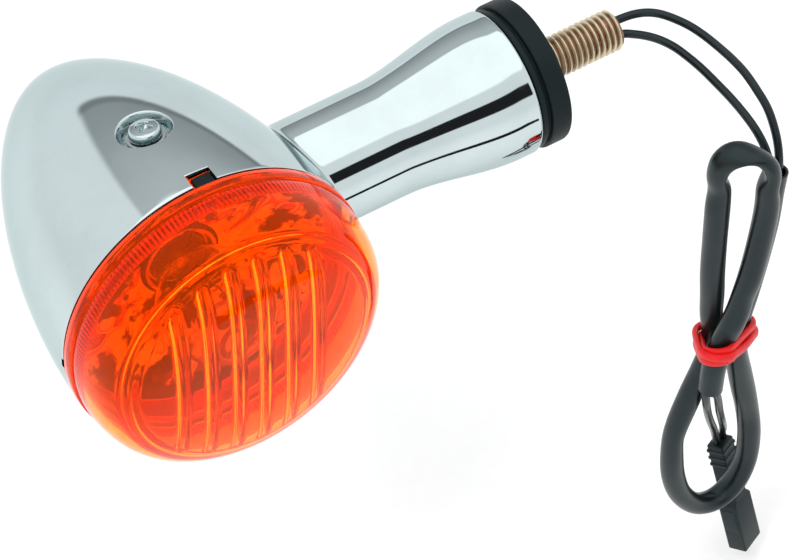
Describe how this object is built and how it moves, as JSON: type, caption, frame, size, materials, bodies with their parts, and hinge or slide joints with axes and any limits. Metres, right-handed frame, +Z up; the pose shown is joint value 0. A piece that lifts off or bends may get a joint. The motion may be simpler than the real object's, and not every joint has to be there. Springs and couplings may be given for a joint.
{
  "type": "turn signal indicator",
  "caption": "Bullet-shaped motorcycle turn signal: chromed housing with an amber lens, on a flared stalk with a rubber base, a hollow threaded stud and a wiring lead with a plug.",
  "frame": {"origin": "on the stud's axis, in the plane of the base rubber's mounting face", "axes": "+X out along the stud, away from the lamp; the lens faces -Y; +Z up, with the housing screw on top"},
  "size_m": [0.1702, 0.1126, 0.1901],
  "materials": {
    "chrome": "polished chrome plate",
    "amber_lens": "moulded transparent amber",
    "reflector": "vacuum-metallised",
    "rubber": "satin moulded rubber",
    "plated_stud": "yellow passivated zinc plate",
    "steel": "bright zinc plate",
    "brass": "stamped",
    "zinc_casting": "die cast",
    "insulator": "pressed phenolic",
    "bulb_glass": "clear blown glass",
    "tungsten": "drawn wire",
    "sleeve_vinyl": "soft glossy vinyl",
    "wire_insulation": "glossy vinyl",
    "red_rubber": "smooth elastic",
    "nylon": "moulded satin"
  },
  "bodies": {
    "arm": {"housing": "chrome", "reflector": "reflector", "bulb_socket": "steel", "contact_spring": "steel", "socket_bracket": "steel", "ground_tag": "brass", "bracket_nut": "steel", "stalk_washer_upper": "steel", "stalk_screw_upper": "steel", "stalk_washer_lower": "steel", "stalk_screw_lower": "steel", "stalk": "chrome", "stalk_plug": "zinc_casting", "base_rubber": "rubber", "stud": "plated_stud", "live_lead": "wire_insulation", "ground_lead": "wire_insulation", "wire_upper": "wire_insulation", "wire_lower": "wire_insulation", "cord_sleeve": "sleeve_vinyl", "tail_left": "wire_insulation", "tail_right": "wire_insulation", "tie_band": "red_rubber", "connector_housing": "nylon", "terminal_left": "brass", "terminal_right": "brass"},
    "lens": {"lens": "amber_lens", "lens_gasket": "rubber"},
    "contact": {"contact_carrier": "insulator", "contact_tip": "brass"},
    "bulb": {"bulb_cap": "steel", "bulb_glass": "bulb_glass", "bulb_filament": "tungsten", "bulb_contact": "zinc_casting"},
    "washer": {"screw_washer": "steel"},
    "screw": {"housing_screw": "chrome"}
  },
  "joints": [
    {"name": "lens_pull", "type": "slide", "parent": "arm", "child": "lens", "axis": [0, -1, 0], "range_m": [0, 0.03]},
    {"name": "contact_press", "type": "slide", "parent": "arm", "child": "contact", "axis": [0, 1, 0], "range_m": [0, 0.0018], "stiffness_N_per_m": 1500, "springref_m": -0.002, "deforming": ["contact_spring"]},
    {"name": "bulb_twist", "type": "hinge", "parent": "contact", "child": "bulb", "pos_m": [-0.0934, 0.0036, 0], "axis": [0, 1, 0], "range_deg": [0, 20]},
    {"name": "screw_lift", "type": "slide", "parent": "arm", "child": "washer", "axis": [0, 0.1855, 0.9827], "range_m": [0, 0.012]},
    {"name": "screw_turn", "type": "hinge", "parent": "washer", "child": "screw", "pos_m": [-0.0934, 0.0029, 0.03316], "axis": [0, 0.1855, 0.9827], "range_deg": [0, 1440]}
  ]
}
